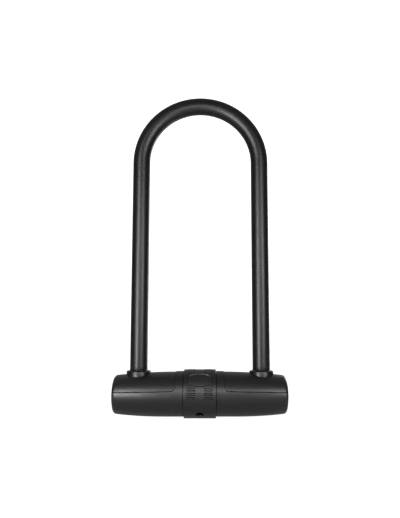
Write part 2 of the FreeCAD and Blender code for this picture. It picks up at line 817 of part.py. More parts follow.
def band_ribs(body, lowest):
    """Rows of raised grips in two columns, from the angle of the lowest row upwards."""
    sketch = new_sketch(body, "XZ_Plane", tilt=f"90 - {lowest}")
    for ends in (("-lock.rib_end", "-lock.rib_start"), ("lock.rib_start", "lock.rib_end")):
        rectangle(sketch, *ends, "lock.rib_root", "lock.rib_top")
    row = body.newObject("PartDesign::Revolution", f"{body.Name}_rib_row")
    row.Profile = sketch
    row.ReferenceAxis = (sketch, ["H_Axis"])
    row.Midplane = True
    bind(row, Angle="lock.rib_width")
    rows = body.newObject("PartDesign::PolarPattern", f"{body.Name}_rib_rows")
    rows.Originals = [row]
    rows.Axis = (sketch, ["H_Axis"])
    rows.Reversed = True
    rows.Occurrences = int(value("lock.rib_rows"))
    bind(rows, Angle="lock.rib_pitch * (lock.rib_rows - 1)")
    body.Tip = rows


def dust_band():
    """The band that turns on the shells' journal, let in for the badge."""
    body = new_body("band_blank")
    half = "lock.band_half_width"
    inside = f"({half} - lock.band_edge)"
    rim = "lock.band_outer - lock.band_edge"
    revolve(body, [
        (f"-{half}", "lock.band_bore"),
        (half, "lock.band_bore"),
        (half, rim),
        (inside, "lock.band_outer"),
        (f"-{inside}", "lock.band_outer"),
        (f"-{half}", rim),
    ], arcs={2: ("lock.band_edge", False), 4: ("lock.band_edge", False)})
    cut_circle(body, "XY_Plane", "lock.keyhole_radius", tilt="lock.keyway_tilt")
    # the detent ball's dimples at both ends of the band's turn
    for tilt in ("-90", "lock.band_travel - 90"):
        cut_circle(
            body, "XY_Plane", "lock.detent_ball + lock.housing_clearance", "lock.detent_offset",
            tilt=tilt, length="lock.band_bore + lock.detent_dimple",
        )
    band_ribs(body, "lock.lower_rib")
    band_ribs(body, "lock.upper_rib")
    band = document.addObject("Part::Cut", "dust_band")
    band.Base = body
    band.Tool = oval_solid("badge_recess", "lock.badge_clearance")
    band.Label = "dust_band"
    return band


def oval_badge():
    """A plain oval plate let into the band, bent to its curve."""
    return oval_solid("oval_badge", "0")


def oval_solid(name, clearance):
    """The oval plate's space: a ring about the crossbar's axis, inside an oval prism."""
    turn = FreeCAD.Rotation(FreeCAD.Vector(0, 1, 0), 90)
    ends = FreeCAD.Placement(FreeCAD.Vector(-value("lock.band_half_width"), 0, 0), turn)
    width = "2 * lock.band_half_width"
    ring = document.addObject("Part::Cut", f"{name}_ring")
    ring.Base = plain_cylinder(f"{name}_outer", f"lock.badge_outer + {clearance}", width, ends)
    ring.Tool = plain_cylinder(f"{name}_inner", f"lock.badge_bore - {clearance}", width, ends)
    oval = document.addObject("Part::Ellipse", f"{name}_oval")
    bind(oval, MajorRadius=f"lock.badge_length / 2 + {clearance}")
    bind(oval, MinorRadius=f"lock.badge_height / 2 + {clearance}")
    tilt = FreeCAD.Rotation(FreeCAD.Vector(1, 0, 0), value("lock.badge_tilt"))
    oval.Placement = FreeCAD.Placement(FreeCAD.Vector(0, 0, 0), tilt)
    prism = document.addObject("Part::Extrusion", f"{name}_prism")
    prism.Base = oval
    prism.DirMode = "Custom"
    prism.Dir = tilt.multVec(FreeCAD.Vector(0, 0, 1))
    prism.Solid = True
    bind(prism, LengthFwd="2 * lock.band_outer")
    solid = document.addObject("Part::Common", name)
    solid.Base = ring
    solid.Tool = prism
    solid.Label = name
    return solid


def detent_ball():
    ball = document.addObject("Part::Sphere", "band_detent_ball")
    ball.Label = "band_detent_ball"
    bind(ball, Radius="lock.detent_ball")
    ball.Placement.Base = FreeCAD.Vector(value("lock.detent_offset"), value("lock.detent_ball_centre"), 0)
    return ball


def detent_spring():
    """A small coil spring under the detent ball."""
    body = new_body("band_detent_spring", x="lock.detent_offset")
    wire = new_sketch(body, "XY_Plane")
    first_turn = "lock.detent_spring_start + lock.detent_wire"
    circle(wire, "lock.detent_wire", "lock.detent_spring_radius", first_turn)
    coil = body.newObject("PartDesign::AdditiveHelix", "detent_coil")
    coil.Profile = wire
    coil.ReferenceAxis = (wire, ["V_Axis"])
    coil.Mode = "pitch-height-angle"
    bind(coil, Pitch="lock.detent_spring_pitch", Height="lock.detent_spring_height")
    return body


# ---- the whole lock ----

def detainer_discs():
    return disc_stack("detainer_discs", "lock.disc_start", "lock.disc_thickness", slotted=True)


def disc_spacers():
    start = "(lock.disc_start + lock.disc_thickness + lock.pin_clearance)"
    return disc_stack("disc_spacers", start, "lock.spacer_thickness", slotted=False)


SINGLE_PIECES = [
    shackle_bar, shackle_sleeve, crossbar_tube, cylinder_housing, keyway_seal, housing_screw,
    core_barrel, detainer_discs, disc_spacers, front_hardplate, sidebar, drive_cam, cam_screw,
    dust_band, oval_badge, detent_ball, detent_spring,
]
PAIRED_PIECES = [
    end_plug, plug_pin, foot_guide, bolt_guide, cover_shell, top_panel, collar, end_cap, lock_bolt,
]


def build():
    """Every separate piece of the lock, each one an object whose Label names its file."""
    pieces = [make() for make in SINGLE_PIECES]
    for side in (-1, 1):
        pieces += [make(side) for make in PAIRED_PIECES]
    return pieces


def check(pieces):
    """Stop at a failed object, a cut that removes nothing, or a piece that isn't sound."""
    for item in document.Objects:
        if {"Invalid", "Error"} & set(item.State):
            raise RuntimeError(f"{item.Label} failed: {item.State}")
        if item.TypeId in ("PartDesign::Pocket", "PartDesign::Groove", "PartDesign::SubtractiveLoft"):
            if item.Shape.Volume >= item.BaseFeature.Shape.Volume - 1e-3:
                raise RuntimeError(f"{item.Label} cuts nothing")
    for piece in pieces:
        if piece.Shape.isNull() or not piece.Shape.isValid() or piece.Shape.Volume <= 0:
            raise RuntimeError(f"{piece.Label} is not a sound solid")


def write(pieces):
    os.makedirs("parts", exist_ok=True)
    for piece in pieces:
        piece.Shape.exportStep(f"parts/{piece.Label}.step")


lock_pieces = build()
document.recompute()
check(lock_pieces)
write(lock_pieces)
for lock_piece in lock_pieces:
    print(f"{lock_piece.Label}: {len(lock_piece.Shape.Solids)} solid, {lock_piece.Shape.Volume:.1f} mm3")
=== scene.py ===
"""Looks for the bicycle U lock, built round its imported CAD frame.

The frame's axes: X along the crossbar, Z up the legs, -Y to the front. Shapes are worked out in
millimetres and scaled to metres when each mesh is made. An angle round the crossbar is 0 at the
front, 90 at the top, 180 at the back and -90 at the bottom.
"""

import math

import bmesh
import bpy
import numpy as np
from mathutils import Matrix, Vector, kdtree
from mathutils.geometry import delaunay_2d_cdt


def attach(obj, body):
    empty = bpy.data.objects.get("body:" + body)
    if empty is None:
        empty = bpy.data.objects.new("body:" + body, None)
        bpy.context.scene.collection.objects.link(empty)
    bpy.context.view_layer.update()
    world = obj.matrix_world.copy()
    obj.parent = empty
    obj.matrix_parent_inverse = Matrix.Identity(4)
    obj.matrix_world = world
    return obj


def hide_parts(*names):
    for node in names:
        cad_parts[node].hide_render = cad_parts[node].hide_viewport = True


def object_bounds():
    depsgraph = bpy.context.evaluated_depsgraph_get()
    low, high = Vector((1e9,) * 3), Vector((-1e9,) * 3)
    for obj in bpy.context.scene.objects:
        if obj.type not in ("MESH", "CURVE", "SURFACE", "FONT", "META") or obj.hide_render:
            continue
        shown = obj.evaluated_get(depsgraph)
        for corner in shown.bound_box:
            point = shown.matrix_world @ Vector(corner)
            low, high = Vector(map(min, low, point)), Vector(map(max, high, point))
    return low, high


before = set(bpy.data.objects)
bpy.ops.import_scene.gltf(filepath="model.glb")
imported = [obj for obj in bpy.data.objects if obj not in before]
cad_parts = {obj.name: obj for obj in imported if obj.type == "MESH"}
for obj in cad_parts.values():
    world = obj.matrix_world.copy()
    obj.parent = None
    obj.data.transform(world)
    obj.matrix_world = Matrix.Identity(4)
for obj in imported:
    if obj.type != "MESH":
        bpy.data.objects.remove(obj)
cad_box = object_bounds()

MM = 0.001
TAU = 2 * math.pi
SIDES = (("left", -1), ("right", 1))

# shackle, in mm as in the CAD source
LEG_X = 59.5
SLEEVE_RADIUS = 8.49
SLEEVE_BORE = 7.05
SLEEVE_BOTTOM = 23.6
ARCH_CENTRE = 229

# covers
JOURNAL_RADIUS = 21
NECK_RADIUS = 21.5
NECK_START = 15.6
NECK_END = 23
TAPER_START = 35
TAPER_END = 80
TAPER_DROP = 2.4
CROWN_RADIUS = 20.95
CROWN_START = 20
CROWN_DROP = 3.15
COVER_END = 83
END_SHOULDER = 81.8
COVER_SHOULDER_RADIUS = 18.4
COVER_END_RADIUS = 17.05
CROWN_SHOULDER_RADIUS = 16.6
CROWN_END_RADIUS = 14.9
COVER_BORE = 17.1
SEAM_AT_NECK = 3.9
SEAM_AT_END = 2.7
SEAM_CORNER = 5
SEAM_GAP = 0.5
SEAM_SIDE_GAP = 0.12
SEAM_FOOT = 0.34
SEAM_RUN = 57
SEAM_FOOT_START = 8
SEAM_FOOT_RISE = 3
SHELL_HALVES_GAP = 0.08
COVER_ROLL = 0.2
NECK_ROUNDING = 0.3
STEP_WALL = -0.05
RECESS_START = 81.2
HOUSING_HOLE = 9.6
LEG_HOLE = 8.9

# end caps
CAP_DROP = 1.1
CAP_FLANGE = 15.6
CAP_RECESS = 15.72
CAP_RIM = 83.1
CAP_CROWN = 85
DOME_EDGE = 15.3

# collars
COLLAR_RADIUS = 11.7
COLLAR_BORE = 7.3
COLLAR_LIP = 8.75
COLLAR_TOP = 23.5
COLLAR_SPIGOT = 8.8
SPIGOT_BOTTOM = 16.6

# dust band
BAND_BORE = 21.3
BAND_RADIUS = 23.09
BAND_HALF_WIDTH = 15.35
BAND_EDGE = 0.5
KEYHOLE_EDGE = 0.15
KEYHOLE_ANGLE = -50
KEYHOLE_RADIUS = 3.75
KEYHOLE_FRAME = 0.3
BADGE_ANGLE = 41
BADGE_HALF_LENGTH = 11.5
BADGE_HALF_HEIGHT = 7
BADGE_RADIUS = 22.7
BADGE_BORE = 22
BADGE_CLEARANCE = 0.1
BADGE_ROLL = 0.2
RECESS_FLOOR = 21.9
RIB_START = 4.55
RIB_END = 11.55
RIB_HEIGHT = 0.3
RIB_HALF_WIDTH = 0.75
RIB_EDGE = 0.3
RIB_ANGLES = (-5, 5, 15, 67, 77, 87)
RIB_OUTER_CORNER = 0.35
RIB_INNER_CORNER = 0.7

# fineness of the meshes, in mm or points
CIRCLE_POINTS = 120
SMALL_CIRCLE_POINTS = 72
SLEEVE_STEPS = 200
NOTCH_STEPS = 48
DOME_STEPS = 40
SEAM_CORNER_STEPS = 12
RIB_CORNER_STEPS = 6
RIM_STEPS = 4
COVER_STEP = 0.8
BAND_STEP = 0.7
COLUMN_STEP = 1.1
END_COLUMNS = (80.4, 80.9, 81.3, 81.7, 82.0, 82.3, 82.6)
SHARP_ANGLE = 50


# ---- flat sheets, bent into shells ----

def inside(points, loop):
    """Which of the flat points lie inside a closed loop."""
    u, v = points[:, 0], points[:, 1]
    result = np.zeros(len(points), bool)
    for (u0, v0), (u1, v1) in zip(loop, loop[1:] + loop[:1]):
        if v0 != v1:
            crossing = u0 + (v - v0) * (u1 - u0) / (v1 - v0)
            result ^= ((v0 > v) != (v1 > v)) & (u < crossing)
    return result


def run(start, end, step):
    """Evenly spaced flat points from start towards end, without the end itself."""
    start, end = np.array(start, float), np.array(end, float)
    count = max(1, round(float(np.linalg.norm(end - start)) / step))
    return [tuple(start + (end - start) * i / count) for i in range(count)]


def rows_round(radius, start, end, step):
    """Rows of a sheet, given by angles in degrees round a cylinder."""
    return [math.radians(angle) * radius for angle in np.arange(start, end, step)]


def cut_sheet(outline, holes=(), rings=(), columns=(), rows=(), ground=None, clear=0.3):
    """Triangles inside outline and outside holes, with every ring kept as edges.

    rings are (loop, lift) pairs, and ground(u, v) gives the lift of a point between them.
    Returns flat points with their lifts, and the triangles.
    """
    ground = ground or (lambda u, v: 0.0)
    points, lifts, edges = [], [], []
    for loop, lift in [(outline, 0.0), *[(hole, 0.0) for hole in holes], *rings]:
        first = len(points)
        points += loop
        lifts += [lift] * len(loop)
        edges += [(first + i, first + (i + 1) % len(loop)) for i in range(len(loop))]
    tree = kdtree.KDTree(len(points))
    for index, (u, v) in enumerate(points):
        tree.insert((u, v, 0), index)
    tree.balance()
    grid = np.array([(u, v) for u in columns for v in rows]).reshape(-1, 2)
    kept = inside(grid, outline)
    for hole in holes:
        kept &= ~inside(grid, hole)
    for u, v in grid[kept]:
        if tree.find((u, v, 0))[2] > clear:
            points.append((u, v))
            lifts.append(ground(u, v))
    flat, _, triangles, sources, _, _ = delaunay_2d_cdt(
        [Vector(point) for point in points], edges, [], 0, 1e-6
    )
    centres = np.array([sum((flat[i] for i in t), Vector((0, 0))) / 3 for t in triangles])
    kept = inside(centres, outline)
    for hole in holes:
        kept &= ~inside(centres, hole)
    triangles = [t for t, keep in zip(triangles, kept) if keep]
    return [(p.x, p.y, lifts[s[0]]) for p, s in zip(flat, sources)], triangles


def outward_directions(bm):
    """The way out of a sheet at each vertex of its rim, long enough to keep corners square."""
    away = {}
    for edge in bm.edges:
        if len(edge.link_faces) != 1:
            continue
        first, second = edge.verts
        along = (second.co - first.co).normalized()
        out = (first.co + second.co) / 2 - edge.link_faces[0].calc_center_median()
        out = (out - out.project(along)).normalized()
        for vertex in edge.verts:
            away.setdefault(vertex, []).append(out)
    return {v: sum(ways, Vector()) / (1 + ways[0].dot(ways[-1])) for v, ways in away.items()}


def thicken(bm, inner, roll_at):
    """Close a sheet: round its rim by roll_at(point), and add its inside, where inner(point) puts it."""
    bm.normal_update()
    outward = outward_directions(bm)
    faces = list(bm.faces)
    rim = []
    for edge in bm.edges:
        if len(edge.link_faces) == 1:
            corner = edge.link_loops[0]
            rim.append((corner.vert, corner.link_loop_next.vert))
    inside_of = {}
    for vertex in list(bm.verts):
        away = outward.get(vertex, Vector())
        inside_of[vertex] = bm.verts.new(inner(vertex.co + away * roll_at(vertex.co)))
    ring = {vertex: vertex for vertex in outward}
    normals = {vertex: vertex.normal.copy() for vertex in outward}
    for step in range(1, RIM_STEPS + 1):
        turn = math.pi / 2 * step / RIM_STEPS
        following = {}
        for vertex, away in outward.items():
            move = away * math.sin(turn) - normals[vertex] * (1 - math.cos(turn))
            following[vertex] = bm.verts.new(vertex.co + move * roll_at(vertex.co))
        for a, b in rim:
            bm.faces.new((ring[b], ring[a], following[a], following[b]))
        ring = following
    for a, b in rim:
        bm.faces.new((ring[b], ring[a], inside_of[a], inside_of[b]))
    for face in faces:
        bm.faces.new([inside_of[v] for v in reversed(face.verts)])


def sheet_bmesh(sheet, place, inner, roll):
    """Bend a flat sheet with place(u, v, lift) and close it into a solid skin.

    roll is the radius of its rounded rim, or a function that gives it at a point.
    """
    points, triangles = sheet
    bm = bmesh.new()
    vertices = [bm.verts.new(place(*point)) for point in points]
    for triangle in triangles:
        bm.faces.new([vertices[i] for i in triangle])
    bmesh.ops.remove_doubles(bm, verts=bm.verts, dist=1e-3)
    loose = [v for v in bm.verts if not v.link_faces]
    bmesh.ops.delete(bm, geom=loose, context="VERTS")
    thicken(bm, inner, roll if callable(roll) else lambda point: roll)
    return bm


def ring_bmesh(rings, joined=False):
    """Quads between rings of points. The last ring joins the first, or else both ends are closed."""
    bm = bmesh.new()
    made = [[bm.verts.new(point) for point in ring] for ring in rings]
    count = len(made[0])
    pairs = list(zip(made, made[1:] + made[:1])) if joined else list(zip(made, made[1:]))
    for lower, upper in pairs:
        for i in range(count):
            j = (i + 1) % count
            bm.faces.new((lower[i], lower[j], upper[j], upper[i]))
    if not joined:
        for ring, reverse in ((made[0], True), (made[-1], False)):
            centre = bm.verts.new(sum((v.co for v in ring), Vector()) / count)
            for i in range(count):
                j = (i + 1) % count
                bm.faces.new((centre, ring[j], ring[i]) if reverse else (centre, ring[i], ring[j]))
    return bm


def add_piece(name, bm, body, nodes, slot, mirrored=False):
    """Make the mesh object in metres, and hang it on its body in place of its CAD nodes."""
    scale = Matrix.Diagonal((-MM if mirrored else MM, MM, MM, 1))
    bmesh.ops.transform(bm, matrix=scale, verts=bm.verts)
    bmesh.ops.recalc_face_normals(bm, faces=bm.faces)
    mesh = bpy.data.meshes.new(name)
    bm.to_mesh(mesh)
    bm.free()
    mesh.polygons.foreach_set("use_smooth", [True] * len(mesh.polygons))
    mesh.set_sharp_from_angle(angle=math.radians(SHARP_ANGLE))
    mesh.materials.append(MATERIALS[slot])
    piece = bpy.data.objects.new(name, mesh)
    bpy.context.scene.collection.objects.link(piece)
    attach(piece, body)
    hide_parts(*nodes)
    return piece


# ---- materials ----

class Surface:
    """A Principled material with its texture nodes, all placed by the object's own coordinates."""

    def __init__(self, name, colour, roughness, metallic=0.0, specular=0.5):
        self.material = bpy.data.materials.new(name)
        self.material.use_nodes = True
        self.nodes = self.material.node_tree.nodes
        self.links = self.material.node_tree.links
        self.shader = self.nodes["Principled BSDF"]
        self.shader.inputs["Base Color"].default_value = (*colour, 1)
        self.shader.inputs["Roughness"].default_value = roughness
        self.shader.inputs["Metallic"].default_value = metallic
        self.shader.inputs["Specular IOR Level"].default_value = specular
        self.colour = colour
        self.roughness = roughness
        self.place = self.nodes.new("ShaderNodeTexCoord").outputs["Object"]
        self.normal = None

    def stretched(self, stretch):
        """The object's coordinates, scaled along each axis."""
        mapping = self.nodes.new("ShaderNodeMapping")
        mapping.inputs["Scale"].default_value = stretch
        self.links.new(self.place, mapping.inputs["Vector"])
        return mapping.outputs["Vector"]

    def noise(self, size, detail=2.0, stretch=None):
        """Noise whose features are about size metres across."""
        node = self.nodes.new("ShaderNodeTexNoise")
        node.inputs["Scale"].default_value = 1 / size
        node.inputs["Detail"].default_value = detail
        self.links.new(self.stretched(stretch) if stretch else self.place, node.inputs["Vector"])
        return node.outputs["Fac"]

    def spread(self, source, low, high, start=0.3, end=0.7):
        """Map the middle of a noise onto low to high."""
        node = self.nodes.new("ShaderNodeMapRange")
        node.inputs["From Min"].default_value = start
        node.inputs["From Max"].default_value = end
        node.inputs["To Min"].default_value = low
        node.inputs["To Max"].default_value = high
        self.links.new(source, node.inputs["Value"])
        return node.outputs["Result"]

    def vary_roughness(self, source, amount):
        """Let the roughness wander by amount to either side."""
        low, high = self.roughness - amount, self.roughness + amount
        self.links.new(self.spread(source, low, high), self.shader.inputs["Roughness"])

    def vary_colour(self, source, other, start=0.3, end=0.7):
        """Blend from the base colour to the other one as source goes from start to end."""
        node = self.nodes.new("ShaderNodeMix")
        node.data_type = "RGBA"
        node.inputs[6].default_value = (*self.colour, 1)
        node.inputs[7].default_value = (*other, 1)
        self.links.new(self.spread(source, 0, 1, start, end), node.inputs["Factor"])
        self.links.new(node.outputs[2], self.shader.inputs["Base Color"])

    def bump(self, source, height, strength=1.0):
        """Add relief of about height metres on top of what is there already."""
        node = self.nodes.new("ShaderNodeBump")
        node.inputs["Distance"].default_value = height
        node.inputs["Strength"].default_value = strength
        self.links.new(source, node.inputs["Height"])
        if self.normal:
            self.links.new(self.normal, node.inputs["Normal"])
        self.normal = node.outputs["Normal"]
        self.links.new(self.normal, self.shader.inputs["Normal"])


def moulded_plastic(name, colour, roughness, grain_height):
    """Spark-eroded moulded plastic: fine pits, a slow waviness and slightly shinier worn places."""
    surface = Surface(name, colour, roughness)
    surface.vary_roughness(surface.noise(0.0022, 3), 0.04)
    surface.vary_colour(surface.noise(0.006, 4), tuple(1.35 * c for c in colour))
    surface.bump(surface.noise(0.012, 1), 0.00002, 0.3)
    surface.bump(surface.noise(0.00035, 2), grain_height)
    return surface.material


def vinyl(name, colour, roughness):
    """Extruded vinyl: smooth, with a faint orange peel and fine handling scuffs."""
    surface = Surface(name, colour, roughness, specular=0.4)
    surface.vary_roughness(surface.noise(0.004, 4, (1, 1, 0.35)), 0.02)
    surface.vary_colour(surface.noise(0.009, 3), tuple(1.3 * c for c in colour))
    surface.bump(surface.noise(0.0025, 2), 0.000012, 0.3)
    surface.bump(surface.noise(0.0004, 2), 0.000002)
    return surface.material


def steel(name, colour, roughness, size, stretch, relief):
    """Machined or drawn metal: fine marks along the way it was worked, and uneven polish."""
    surface = Surface(name, colour, roughness, metallic=1.0)
    surface.vary_roughness(surface.noise(0.003, 4), 0.07)
    surface.vary_colour(surface.noise(0.005, 5), tuple(0.78 * c for c in colour))
    surface.bump(surface.noise(size, 3, stretch), relief)
    return surface.material


def nylon(name, colour):
    """Milky moulded nylon, which lets a little light in."""
    surface = Surface(name, colour, 0.5)
    surface.shader.inputs["Subsurface Weight"].default_value = 0.15
    surface.shader.inputs["Subsurface Radius"].default_value = (0.002, 0.0018, 0.0014)
    surface.vary_roughness(surface.noise(0.003, 3), 0.06)
    surface.vary_colour(surface.noise(0.008, 3), tuple(0.9 * c for c in colour))
    surface.bump(surface.noise(0.0008, 3), 0.00001)
    return surface.material


def rubber(name, colour):
    """Matt rubber with dusty patches."""
    surface = Surface(name, colour, 0.75, specular=0.3)
    surface.vary_roughness(surface.noise(0.001, 3), 0.08)
    surface.vary_colour(surface.noise(0.002, 3), tuple(1.8 * c for c in colour))
    surface.bump(surface.noise(0.0003, 3), 0.00002)
    return surface.material


MATERIALS = {
    "hardened_steel": steel("hardened_steel_look", (0.3, 0.29, 0.28), 0.36, 0.0006, (1, 1, 0.06), 0.000008),
    "bright_steel": steel("bright_steel_look", (0.58, 0.57, 0.56), 0.26, 0.0004, (0.1, 1, 1), 0.000005),
    "zinc_screw": steel("zinc_look", (0.5, 0.52, 0.55), 0.32, 0.0006, (1, 1, 1), 0.000006),
    # painted shade: the brass is given a near-black colour, far darker than brass, so the keyway inside the
    # keyhole looks dark
    "lock_brass": steel("brass_painted_shade_look", (0.05, 0.044, 0.034), 0.42, 0.0004, (0.1, 1, 1), 0.000005),
    "guide_nylon": nylon("nylon_look", (0.62, 0.6, 0.54)),
    "seal_rubber": rubber("rubber_look", (0.012, 0.012, 0.012)),
    "sleeve_vinyl": vinyl("sleeve_look", (0.002, 0.002, 0.0021), 0.37),
    "collar_vinyl": vinyl("collar_look", (0.0025, 0.0025, 0.0026), 0.36),
    "cover_plastic": moulded_plastic("cover_look", (0.004, 0.004, 0.0041), 0.36, 0.000012),
    "panel_plastic": moulded_plastic("panel_look", (0.004, 0.004, 0.0041), 0.36, 0.000012),
    "cap_plastic": moulded_plastic("cap_look", (0.004, 0.004, 0.0041), 0.5, 0.000014),
    "badge_plastic": moulded_plastic("badge_look", (0.004, 0.004, 0.0041), 0.44, 0.000006),
}
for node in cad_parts.values():
    for material_slot in node.material_slots:
        material_slot.material = MATERIALS[material_slot.material.name]


# ---- shackle ----

def sleeve_centre(distance):
    """A point on the shackle's centre line, measured from the sleeve's left foot, and its heading."""
    leg = ARCH_CENTRE - SLEEVE_BOTTOM
    arch = math.pi * LEG_X
    if distance < leg:
        return Vector((-LEG_X, 0, SLEEVE_BOTTOM + distance)), Vector((0, 0, 1))
    if distance > leg + arch:
        return Vector((LEG_X, 0, ARCH_CENTRE - (distance - leg - arch))), Vector((0, 0, -1))
    turn = math.pi - (distance - leg) / LEG_X
    place = Vector((LEG_X * math.cos(turn), 0, ARCH_CENTRE + LEG_X * math.sin(turn)))
    return place, Vector((math.sin(turn), 0, -math.cos(turn)))


def shackle_sleeve():
    """The vinyl tube over the bar, with a rounded lip at each foot."""
    length = 2 * (ARCH_CENTRE - SLEEVE_BOTTOM) + math.pi * LEG_X
    skin_start, bore_start = 0.25, 0.3
    lip = [
        (bore_start, SLEEVE_BORE), (0.08, 7.14), (0, 7.35), (0, 8.3), (0.04, 8.41), (0.12, 8.47),
        (skin_start, SLEEVE_RADIUS),
    ]
    skin, bore = [], []
    for i in range(1, SLEEVE_STEPS):
        share = i / SLEEVE_STEPS
        skin.append((skin_start + (length - 2 * skin_start) * share, SLEEVE_RADIUS))
        bore.append((bore_start + (length - 2 * bore_start) * (1 - share), SLEEVE_BORE))
    far_lip = [(length - distance, radius) for distance, radius in reversed(lip)]
    rings = []
    for distance, radius in lip + skin + far_lip + bore:
        centre, heading = sleeve_centre(distance)
        across = Vector((0, 1, 0)).cross(heading)
        ring = []
        for i in range(SMALL_CIRCLE_POINTS):
            turn = TAU * i / SMALL_CIRCLE_POINTS
            ring.append(centre + radius * (math.cos(turn) * across + math.sin(turn) * Vector((0, 1, 0))))
        rings.append(ring)
    bm = ring_bmesh(rings, joined=True)
    add_piece("sleeve", bm, "shackle", ["shackle_sleeve"], "sleeve_vinyl")


# ---- covers ----

def end_drop(x, slope, shoulder_drop, full_drop):
    """How far an outline has bent in at x past the taper, through its shoulder and its end."""
    past = max(x - TAPER_END, 0)
    shoulder, end = END_SHOULDER - TAPER_END, COVER_END - TAPER_END
    shoulder_bend = shoulder_drop - slope * shoulder
    full_bend = full_drop - slope * end
    power = math.log(full_bend / shoulder_bend) / math.log(end / shoulder)
    return slope * past + full_bend * (past / end) ** power


def outline_height(x, start_radius, start, drop, shoulder_radius, end_radius):
    """An outline that tapers in from start, more and more, and then bends in to its end."""
    length = TAPER_END - start
    share = max(min(x, TAPER_END) - start, 0) / length
    taper_radius = start_radius - drop
    bend = end_drop(x, 2 * drop / length, taper_radius - shoulder_radius, taper_radius - end_radius)
    return start_radius - drop * share ** 2 - bend


def cover_radius(x):
    """Radius of the round cover at x."""
    return outline_height(x, NECK_RADIUS, TAPER_START, TAPER_DROP, COVER_SHOULDER_RADIUS, COVER_END_RADIUS)


def crown_height(x):
    """Height of the top panel's crown at x."""
    return outline_height(x, CROWN_RADIUS, CROWN_START, CROWN_DROP, CROWN_SHOULDER_RADIUS, CROWN_END_RADIUS)


def crown_circle(x):
    """Radius and drop of the circle that meets the cover at the seam and the crown at the top."""
    cover, crown = cover_radius(x), crown_height(x)
    drop = (cover ** 2 - crown ** 2) / (2 * crown - 2 * SEAM_AT_NECK)
    return crown + drop, drop


def crown_surface(x, y):
    """Height of the top panel's skin over a point of the ground plan."""
    radius, drop = crown_circle(abs(x))
    return math.sqrt(radius ** 2 - y ** 2) - drop


def seam_line(side_inset, inset, end):
    """The seam seen from the front, from the top of the neck's edge to the crossbar's end.

    The insets move it into the top panel, across the neck and along the side. Negative ones move it
    into the shell.
    """
    corner_x, corner_z = NECK_END + SEAM_CORNER, SEAM_AT_NECK + SEAM_CORNER
    reach, rise = SEAM_CORNER - side_inset, SEAM_CORNER - inset
    points = []
    for step in range(SEAM_CORNER_STEPS + 1):
        turn = math.pi / 2 * step / SEAM_CORNER_STEPS
        points.append((corner_x - reach * math.cos(turn), corner_z - rise * math.sin(turn)))
    fall = (SEAM_AT_NECK - SEAM_AT_END) / SEAM_RUN
    count = round((end - corner_x) / COVER_STEP)
    for step in range(1, count + 1):
        x = corner_x + (end - corner_x) * step / count
        points.append((x, SEAM_AT_NECK + inset - fall * (x - corner_x)))
    return points


def shell_place(x, v, lift):
    """The round cover: v is the arc length round the neck's radius."""
    step = (x - NECK_START) / NECK_ROUNDING
    if step < STEP_WALL:
        radius = JOURNAL_RADIUS
    elif step < 1:
        radius = NECK_RADIUS - NECK_ROUNDING * (1 - math.sqrt(max(0, 1 - (1 - max(step, 0)) ** 2)))
    else:
        radius = cover_radius(x)
    turn = v / NECK_RADIUS
    return Vector((x, -(radius + lift) * math.cos(turn), (radius + lift) * math.sin(turn)))


def cover_inside(point):
    """Where the inside of a cover lies behind a point of its skin."""
    middle, radius = (0, COVER_BORE)
    if abs(point.x) > RECESS_START:
        middle, radius = (-CAP_DROP, CAP_RECESS)
    across = Vector((0, point.y, point.z - middle)).normalized() * radius
    return Vector((point.x, across.y, across.z + middle))


def cover_shell(name, side):
    """Half of the round cover: notched for the cylinder housing and cut away under the top panel."""
    roll = COVER_ROLL
    arc = NECK_RADIUS
    start, end, edge = SHELL_HALVES_GAP + roll, COVER_END - roll, NECK_END - roll
    top, bottom = math.radians(90) * arc, math.radians(-270) * arc
    front = [(x, math.asin(z / cover_radius(x)) * arc) for x, z in seam_line(-roll, -roll, end)]
    back = [(x, -math.pi * arc - v) for x, v in front]
    notch = []
    for step in range(NOTCH_STEPS + 1):
        turn = math.radians(-90 + 180 * step / NOTCH_STEPS)
        x = HOUSING_HOLE * math.cos(turn)
        rise = math.asin(HOUSING_HOLE * math.sin(turn) / JOURNAL_RADIUS)
        if x > start:
            notch.append((x, (math.radians(KEYHOLE_ANGLE) + rise) * arc))
    outline = run((start, top), (edge, top), COVER_STEP)
    outline += run((edge, top), front[0], COVER_STEP) + front
    outline += run(front[-1], back[-1], COVER_STEP)[1:] + back[::-1]
    outline += run(back[0], (edge, bottom), COVER_STEP)[1:]
    outline += run((edge, bottom), (start, bottom), COVER_STEP)
    outline += run((start, bottom), (start, notch[0][1]), COVER_STEP) + notch
    outline += run((start, notch[-1][1]), (start, top), COVER_STEP)
    columns = list(np.arange(1.2, 15, 1.2)) + [15.3, 15.57, 15.6, 15.63, 15.68, 15.76, 15.9, 16.4]
    columns += list(np.arange(17.4, TAPER_END, COLUMN_STEP)) + list(END_COLUMNS)
    rows = rows_round(arc, -267.5, 90, 2.5)
    sheet = cut_sheet(outline, columns=columns, rows=rows)
    bm = sheet_bmesh(sheet, shell_place, cover_inside, roll)
    add_piece(f"{name}_cover", bm, "crossbar", [f"{name}_shell"], "cover_plastic", mirrored=side < 0)


def panel_place(x, v, lift):
    """The crowned cover: v is an angle about the crown's own circle, times the neck's radius."""
    radius, drop = crown_circle(x)
    turn = v / NECK_RADIUS
    return Vector((x, -(radius + lift) * math.cos(turn), (radius + lift) * math.sin(turn) - drop))


def panel_arc(x, z):
    """The panel's flat coordinate where its skin is at height z."""
    radius, drop = crown_circle(x)
    return math.asin((z + drop) / radius) * NECK_RADIUS


def leg_hole(radius):
    """A round hole for a leg, in the panel's flat coordinates."""
    loop = []
    for step in range(SMALL_CIRCLE_POINTS):
        turn = TAU * step / SMALL_CIRCLE_POINTS
        x, y = LEG_X + radius * math.cos(turn), radius * math.sin(turn)
        loop.append((x, (math.pi / 2 + math.asin(y / crown_circle(x)[0])) * NECK_RADIUS))
    return loop


